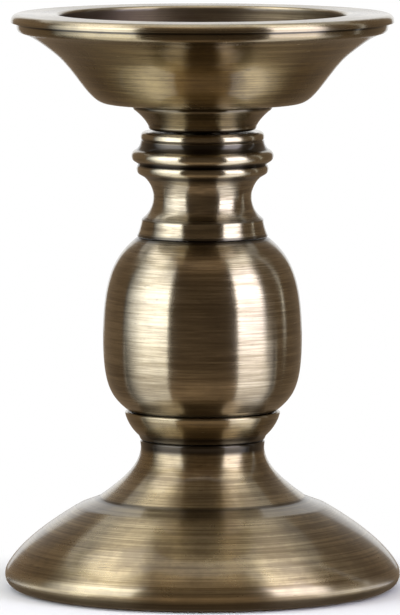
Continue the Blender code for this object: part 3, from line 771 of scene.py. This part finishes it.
def neck_outline():
    """The neck, from its top face down the outside and back up its bore."""
    top = NECK_HEIGHT
    cove = (NECK_WAIST_RADIUS + NECK_COVE_ROUND, NECK_COVE_HEIGHT)
    cove_angle = math.degrees(math.asin(NECK_COVE_HALF_HEIGHT / NECK_COVE_ROUND))
    bead = (NECK_BEAD_RADIUS - NECK_BEAD_ROUND, top - NECK_BEAD_DROP)
    ring = (NECK_RING_RADIUS - NECK_RING_ROUND, top - NECK_RING_DROP)
    groove = top - NECK_GROOVE_DROP
    flare = (NECK_FLARE_RADIUS, top - NECK_FLARE_DROP)
    outline = [(ROD_HOLE, top - RECESS_DEPTH), (SPIGOT_HOLE, top - RECESS_DEPTH), (SPIGOT_HOLE, top)]
    outline += arc((NECK_TOP_RADIUS - NECK_TOP_ROUND, top - NECK_TOP_ROUND), NECK_TOP_ROUND, 90, 0)
    outline.append((NECK_TOP_RADIUS, groove + NECK_GROOVE_WIDTH / 2))
    outline.append((NECK_TOP_RADIUS - NECK_GROOVE_DEPTH, groove))
    outline.append((NECK_TOP_RADIUS, groove - NECK_GROOVE_WIDTH / 2))
    outline += bend(outline[-1], crossing(outline[-1], 90, flare, -NECK_FLARE_SLOPE), flare)
    outline += arc(bead, NECK_BEAD_ROUND, NECK_BEAD_ANGLE, -NECK_BEAD_ANGLE, 2 * ARC_STEPS)
    outline += arc(ring, NECK_RING_ROUND, NECK_RING_TOP_ANGLE, -NECK_RING_BASE_ANGLE, 2 * ARC_STEPS)
    outline += arc(cove, NECK_COVE_ROUND, 180 - cove_angle, 180 + cove_angle, CURVE_STEPS)
    band_top = (NECK_BAND_TOP_RADIUS, NECK_BAND_TOP_HEIGHT)
    outline.append(band_top)
    outline += bend(band_top, (NECK_BAND_WAIST_RADIUS, NECK_BAND_WAIST_HEIGHT), (NECK_BASE_RADIUS, 0.0))
    outline += [(NECK_SPIGOT_RADIUS, 0.0), (NECK_SPIGOT_RADIUS, -SPIGOT_LENGTH)]
    outline += [(NECK_BORE_RADIUS, -SPIGOT_LENGTH), (NECK_BORE_RADIUS, top - RECESS_DEPTH - NECK_WEB)]
    outline.append((ROD_HOLE, top - RECESS_DEPTH - NECK_WEB))
    return divided(outline)


# Boss under the dish

BOSS_HEIGHT = 0.00675
BOSS_BASE_RADIUS = 0.0126
BOSS_HEEL_RADIUS = 0.0141
BOSS_HEEL_HEIGHT = 0.0012
BOSS_HEEL_SLOPE = 63.0
BOSS_LIP_RADIUS = 0.0182
BOSS_LIP_HEIGHT = 0.0014
BOSS_LIP_ROUND = 0.0004
BOSS_LIP_SLOPE = 37.0
# Painted shade where the boss meets the neck and at its lip under the bowl
BOSS_DARK_RINGS = [
    (BOSS_BASE_RADIUS + 0.0008, 0.0003, 0.0012, 0.85),
    (BOSS_LIP_RADIUS, BOSS_HEIGHT - 0.0004, 0.0010, 0.75),
]


def boss_outline():
    """The boss: a flared cup with a spigot at each end and the rod hole through it."""
    base = (BOSS_BASE_RADIUS, 0.0)
    heel = (BOSS_HEEL_RADIUS, BOSS_HEEL_HEIGHT)
    lip_base = (BOSS_LIP_RADIUS - BOSS_LIP_ROUND, BOSS_HEIGHT - BOSS_LIP_HEIGHT)
    lip_side = (BOSS_LIP_RADIUS + BOSS_LIP_ROUND, BOSS_HEIGHT - BOSS_LIP_HEIGHT / 2)
    lip_top = (BOSS_LIP_RADIUS - BOSS_LIP_ROUND, BOSS_HEIGHT)
    outline = [(ROD_HOLE, -SPIGOT_LENGTH), (SPIGOT_RADIUS, -SPIGOT_LENGTH), (SPIGOT_RADIUS, 0.0), base]
    outline += bend(base, (BOSS_HEEL_RADIUS, 0.0), heel)
    outline += bend(heel, crossing(heel, BOSS_HEEL_SLOPE, lip_base, BOSS_LIP_SLOPE), lip_base)
    outline += bend(lip_base, lip_side, lip_top)
    outline += [(SPIGOT_RADIUS, BOSS_HEIGHT), (SPIGOT_RADIUS, BOSS_HEIGHT + SPIGOT_LENGTH)]
    outline.append((ROD_HOLE, BOSS_HEIGHT + SPIGOT_LENGTH))
    return divided(outline)


# Dish: the pan on top and the bowl under it

PAN_WALL = 0.0008
PAN_LIP_HEIGHT = 0.0022
PAN_LIP_ROUND = 0.0017
WELL_RADIUS = 0.0374
FLANGE_WIDTH = 0.0123
PAN_RADIUS = WELL_RADIUS + FLANGE_WIDTH
WELL_DEPTH = 0.0090
WELL_EDGE_ROUND = 0.0010
WELL_FLOOR_ROUND = 0.0015
BOWL_WALL = 0.0009
BOWL_BASE_RADIUS = 0.0249
BOWL_BASE_CURVE = 0.0046
BOWL_SIDE_CURVE = 0.0068
BOWL_SIDE_SLOPE = 39.0
BOWL_MOUTH_SLOPE = 22.0
BOWL_MOUTH_RUN = 0.0010
BOWL_BAND_GAP = 0.0007
BOWL_BAND_DEPTH = 0.0027
BOWL_BAND_HEADROOM = 0.0006
BOWL_BAND_CORNER = 0.0014
BOWL_BAND_CROWN = 0.0001
BOWL_CLEARANCE = 0.0005
BOWL_BAND_RADIUS = PAN_RADIUS - PAN_WALL - BOWL_BAND_GAP
# Painted shade under the edge of the lip and just inside the mouth of the well
PAN_DARK_RINGS = [
    (PAN_RADIUS, -PAN_LIP_HEIGHT, 0.0008, 0.50),
    (WELL_RADIUS, -0.0015, 0.0010, 0.30),
]


def pan_outline():
    """The pan from above: well floor, well wall, flange and turned-down lip. The flange is at height 0."""
    lip = (PAN_RADIUS - PAN_LIP_ROUND, -PAN_LIP_ROUND)
    floor_round = (WELL_RADIUS - WELL_FLOOR_ROUND, WELL_FLOOR_ROUND - WELL_DEPTH)
    edge_round = (WELL_RADIUS + WELL_EDGE_ROUND, -WELL_EDGE_ROUND)
    face = [(0.0, -WELL_DEPTH)]
    face += arc(floor_round, WELL_FLOOR_ROUND, -90, 0)
    face += arc(edge_round, WELL_EDGE_ROUND, 180, 90)
    face += arc(lip, PAN_LIP_ROUND, 90, 0)
    face.append((PAN_RADIUS, -PAN_LIP_HEIGHT))
    return sheet(divided(face), PAN_WALL, 1)


def bowl_outline(seat, pan_top):
    """The bowl from below: base, side that passes the pan's corner with a clearance, and band in the lip."""
    band_base = pan_top - PAN_LIP_HEIGHT - BOWL_BAND_DEPTH
    band_corner = (BOWL_BAND_RADIUS - BOWL_BAND_CORNER, band_base + BOWL_BAND_CORNER - seat)
    band_top = (BOWL_BAND_RADIUS - BOWL_BAND_CROWN, pan_top - PAN_WALL - BOWL_BAND_HEADROOM - seat)
    corner_round = WELL_FLOOR_ROUND + PAN_WALL
    corner = (WELL_RADIUS - WELL_FLOOR_ROUND, pan_top - WELL_DEPTH + WELL_FLOOR_ROUND - seat)
    side = away(corner, corner_round + BOWL_CLEARANCE + BOWL_WALL, BOWL_SIDE_SLOPE - 90)
    mouth_end = (band_corner[0], band_corner[1] - BOWL_BAND_CORNER)
    mouth = away(mouth_end, BOWL_MOUTH_RUN, BOWL_MOUTH_SLOPE + 180)
    base = (BOWL_BASE_RADIUS, 0.0)
    face = [(SPIGOT_HOLE, 0.0), base]
    side_start = away(side, BOWL_SIDE_CURVE, BOWL_SIDE_SLOPE + 180)
    face += curve(base, away(base, BOWL_BASE_CURVE, 0), side_start, side)
    face += bend(side, crossing(side, BOWL_SIDE_SLOPE, mouth, BOWL_MOUTH_SLOPE), mouth)
    face += arc(band_corner, BOWL_BAND_CORNER, -90, 0)
    crown = (BOWL_BAND_RADIUS + BOWL_BAND_CROWN, (band_corner[1] + band_top[1]) / 2)
    face += bend((BOWL_BAND_RADIUS, band_corner[1]), crown, band_top)
    return sheet(divided(face), BOWL_WALL, -1)


def bowl_dark_rings(seat, pan_top):
    """The dark rings of painted shade at the mouth of the pan's lip and under the bowl's band."""
    mouth = pan_top - PAN_LIP_HEIGHT
    return [
        (BOWL_BAND_RADIUS, mouth - seat, 0.0009, 0.90),
        (BOWL_BAND_RADIUS, mouth - BOWL_BAND_DEPTH - seat, 0.0034, 0.30),
    ]


# Felt pad

FELT_ROUND = 0.0005


def felt_outline(radius, thickness):
    """A thick felt disc with softened edges."""
    outline = [(0.0, thickness)]
    outline += arc((radius - FELT_ROUND, thickness - FELT_ROUND), FELT_ROUND, 90, 0)
    outline += arc((radius - FELT_ROUND, FELT_ROUND), FELT_ROUND, 0, -90)
    return divided(outline + [(0.0, 0.0)])


# Pieces in their places

foot_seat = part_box("foot_shell")[0].z
collar_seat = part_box("collar_cup")[0].z + SPIGOT_LENGTH
bulb_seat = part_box("bulb_shell")[0].z
neck_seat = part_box("neck_spool")[0].z + SPIGOT_LENGTH
boss_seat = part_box("bowl_boss")[0].z + SPIGOT_LENGTH
bowl_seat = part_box("bowl_shell")[0].z
pan_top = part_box("candle_pan")[1].z
felt_low, felt_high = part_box("felt_pad")

turned("foot", foot_outline(), foot_seat, "foot_shell", FOOT_BRASS, FOOT_DARK_RINGS)
turned("collar", collar_outline(), collar_seat, "collar_cup", COLLAR_BRASS, COLLAR_DARK_RINGS)
turned("bulb", bulb_outline(), bulb_seat, "bulb_shell", BULB_BRASS, BULB_DARK_RINGS)
turned("neck", neck_outline(), neck_seat, "neck_spool", NECK_BRASS, NECK_DARK_RINGS)
turned("boss", boss_outline(), boss_seat, "bowl_boss", BOSS_BRASS, BOSS_DARK_RINGS)
turned("bowl", bowl_outline(bowl_seat, pan_top), bowl_seat, "bowl_shell", BOWL_BRASS,
       bowl_dark_rings(bowl_seat, pan_top))
turned("pan", pan_outline(), pan_top, "candle_pan", PAN_BRASS, PAN_DARK_RINGS)
felt_disc = felt_outline(felt_high.x, felt_high.z - felt_low.z)
turned("base_felt", felt_disc, felt_low.z, "felt_pad", FELT)

STEEL_NODES = ["tie_rod", "top_washer", "top_lock_washer", "top_nut",
               "bottom_washer", "bottom_lock_washer", "bottom_nut"]
for node_name in STEEL_NODES + ["base_disc"]:
    cad_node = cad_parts[node_name]
    cad_node.data.materials.clear()
    cad_node.data.materials.append(STEEL if node_name in STEEL_NODES else BOARD)


# Stage: a pale floor, a ring of glowing cards and a white world

FLOOR_REACH = 30.0
SHADOW_REACH = 0.050
WHITE_REACH = 0.090
RING_RADIUS = 0.70
RING_CENTRE = 0.07
RING_STEP = 4.0
CARD_LIFT = 0.0004
DARKEST_LIGHT = 0.4

# Bounds of the cards in degrees

ROUND = (-180.0, 180.0)
FRONT = (-40.0, 41.0)
HORIZON = -5.7
CONTACT = -51.0
LOWEST = -60.0
FRONT_SPLIT = -24.0
SIDE_TOP = 44.0
LIGHT_TOP = 48.0
FRONT_TOP = 50.0
UPPER_TOP = 68.0
ZENITH = 90.0

# Colours and fades of the cards

WHITE = (1.0, 1.0, 1.0)
SKY_GREY = (0.1, 0.1, 0.1)
FLOOR_GREY = (0.80, 0.80, 0.80)
WARM = (1.0, 0.74, 0.50)
LEFT_COOL = (0.95, 1.0, 1.08)
RIGHT_COOL = (0.99, 0.99, 1.18)
POOL_COOL = (1.0, 1.0, 1.08)
SHARP = (0.0, 0.0, 0.0, 0.0)
UPPER_FADES = (10.0, 10.0, 8.0, 0.0)


def stage_piece(name, corners, faces, material):
    """A piece of the stage."""
    piece = new_piece(name, corners, faces, material)
    return piece


def seen_ray(g):
    """1 for the rays that show the background: those of the camera, and those that metal or glass sends."""
    path = g.node("ShaderNodeLightPath")
    both = g.maths("MAXIMUM", path.outputs["Is Camera Ray"], path.outputs["Is Glossy Ray"])
    return g.maths("MAXIMUM", both, path.outputs["Is Transmission Ray"])


def emission(g, colour, strength):
    """A glow in place of a shaded surface."""
    glow = g.node("ShaderNodeEmission")
    g.feed(glow.inputs["Color"], colour)
    g.feed(glow.inputs["Strength"], strength)
    return glow.outputs[0]


def floor_material():
    """A pale floor that is white where it is seen, apart from the object's shadow near it."""
    g = Graph(bpy.data.materials.new("pale_floor"))
    g.surface({"Base Color": FLOOR_GREY, "Roughness": 0.9, "Specular IOR Level": 0.0})
    length = g.node("ShaderNodeVectorMath", operation="LENGTH")
    g.feed(length.inputs[0], g.place())
    far = g.ramp(length.outputs["Value"], SHADOW_REACH, WHITE_REACH)
    mixed = g.node("ShaderNodeMixShader")
    parts = (g.maths("MULTIPLY", seen_ray(g), far), g.shader.outputs[0], emission(g, WHITE, 1.0))
    for socket, part in zip(mixed.inputs, parts):
        g.feed(socket, part)
    g.feed(g.tree.nodes["Material Output"].inputs["Surface"], mixed.outputs[0])
    return g.owner


def card_material(name, level, tint):
    """The glow of a card, at its level times the glow stored at each point."""
    g = Graph(bpy.data.materials.new(name))
    g.tree.nodes.remove(g.shader)
    strength = g.maths("MULTIPLY", g.attribute("glow"), level)
    g.feed(g.tree.nodes["Material Output"].inputs["Surface"], emission(g, tint, strength))
    return g.owner


def ring_point(turn, rise):
    """A place on the ring at a turn and a rise in degrees. Below the ring's foot it lies on the floor."""
    turn, rise = math.radians(turn), math.radians(rise)
    reach, height = RING_RADIUS * math.cos(rise), RING_CENTRE + RING_RADIUS * math.sin(rise)
    if height < CARD_LIFT:
        reach, height = min(reach, RING_CENTRE / math.tan(-rise)), CARD_LIFT
    return (reach * math.sin(turn), -reach * math.cos(turn), height)


def card(name, turns, rises, level, tint=WHITE, fades=SHARP):
    """A glowing card on the ring round the object, dark or bright, that the camera looks through.

    Its turns run from the camera's side, + to the right, and its rises from the horizon, all in degrees.
    The fades are the degrees over which it dims: at its first and last turn and its lowest and highest rise.
    A dark card, or one on the floor, shows in reflections alone and doesn't light the floor.
    """
    across = max(1, math.ceil((turns[1] - turns[0]) / RING_STEP))
    up = max(1, math.ceil((rises[1] - rises[0]) / RING_STEP))
    corners, glows = [], []
    for i in range(across + 1):
        turn = turns[0] + (turns[1] - turns[0]) * i / across
        for j in range(up + 1):
            rise = rises[0] + (rises[1] - rises[0]) * j / up
            corners.append(ring_point(turn, rise))
            inside = (turn - turns[0], turns[1] - turn, rise - rises[0], rises[1] - rise)
            glows.append(math.prod(min(1.0, d / fade) for d, fade in zip(inside, fades) if fade > 0.0))
    faces = []
    for i in range(across):
        for j in range(up):
            a = i * (up + 1) + j
            faces.append((a, a + 1, a + up + 2, a + up + 1))
    piece = stage_piece(name, corners, faces, card_material(name, level, tint))
    give_values(piece, "glow", glows)
    piece.visible_camera = False
    piece.visible_shadow = False
    piece.visible_diffuse = level > DARKEST_LIGHT and rises[1] > HORIZON
    return piece


floor_corners = [(x * FLOOR_REACH, y * FLOOR_REACH, 0.0) for x, y in ((-1, -1), (1, -1), (1, 1), (-1, 1))]
stage_piece("floor", floor_corners, [(0, 1, 2, 3)], floor_material())

# Painted contact shadow on the floor round the foot, seen only in reflections
card("contact", ROUND, (LOWEST, CONTACT), 0.18, WARM)
card("dark_front", FRONT, (FRONT_SPLIT, FRONT_TOP), 0.12, WARM)
# Painted shade on the floor in front, seen only in reflections
card("low_front", FRONT, (CONTACT, FRONT_SPLIT), 0.55, WARM)
# Painted shade on the floor at the sides and behind, seen only in reflections
card("dark_back", (94.0, 258.0), (CONTACT, HORIZON), 0.25, WARM)
card("left_light", (-104.0, FRONT[0]), (HORIZON, LIGHT_TOP), 4.8, LEFT_COOL, (34.0, 0.0, 0.0, 12.0))
card("right_light", (FRONT[1], 80.0), (HORIZON, LIGHT_TOP), 5.4, RIGHT_COOL, (0.0, 8.0, 0.0, 12.0))
# Painted pool of light on the floor to the left, seen only in reflections
card("left_pool", (-100.0, FRONT[0]), (CONTACT, HORIZON), 1.9, WHITE, (25.0, 0.0, 0.0, 0.0))
# Painted pool of light on the floor to the right, seen only in reflections
card("right_pool", (FRONT[1], 92.0), (CONTACT, HORIZON), 2.2, POOL_COOL, (0.0, 14.0, 0.0, 0.0))
card("right_strip", (106.0, 112.0), (-1.0, 13.0), 2.6, WHITE, (1.0, 1.0, 3.0, 5.0))
card("left_side", (-158.0, -104.0), (HORIZON, 36.0), 0.28, WARM)
card("right_side", (80.0, 106.0), (HORIZON, SIDE_TOP), 0.24, WARM)
card("right_rear", (112.0, 158.0), (HORIZON, SIDE_TOP), 0.25, WARM)
card("rear", (158.0, 202.0), (HORIZON, SIDE_TOP), 1.0)
card("upper_left", (-128.0, -60.0), (40.0, UPPER_TOP), 3.4, WHITE, UPPER_FADES)
card("upper_right", (45.0, 106.0), (SIDE_TOP, UPPER_TOP), 3.0, WHITE, UPPER_FADES)
card("top", ROUND, (UPPER_TOP, ZENITH), 1.6)
card("upper_front", (-60.0, 45.0), (FRONT_TOP, UPPER_TOP), 0.75, WARM)
card("upper_back", (115.0, 215.0), (SIDE_TOP, UPPER_TOP), 0.60)

world = bpy.data.worlds.new("studio")
bpy.context.scene.world = world
sky = Graph(world)
sky.feed(sky.tree.nodes["Background"].inputs["Color"], sky.mix(seen_ray(sky), SKY_GREY, WHITE))


# Camera

CAMERA_DISTANCE = 1.907
CAMERA_HEIGHT = 0.2577
AIM_HEIGHT = 0.07344
SIDE_SHIFT = -0.00065
LENS = 431.0
SENSOR_WIDTH = 36.0
NEAREST_SEEN = 0.1
FARTHEST_SEEN = 100.0

camera_data = bpy.data.cameras.new("camera")
camera_data.lens = LENS
camera_data.sensor_width = SENSOR_WIDTH
camera_data.clip_start = NEAREST_SEEN
camera_data.clip_end = FARTHEST_SEEN
camera = bpy.data.objects.new("camera", camera_data)
camera.location = (SIDE_SHIFT, -CAMERA_DISTANCE, CAMERA_HEIGHT)
aim = Vector((SIDE_SHIFT, 0.0, AIM_HEIGHT)) - camera.location
camera.rotation_euler = aim.to_track_quat("-Z", "Y").to_euler()
bpy.context.scene.collection.objects.link(camera)
bpy.context.scene.camera = camera
bpy.context.scene.view_settings.view_transform = "Standard"
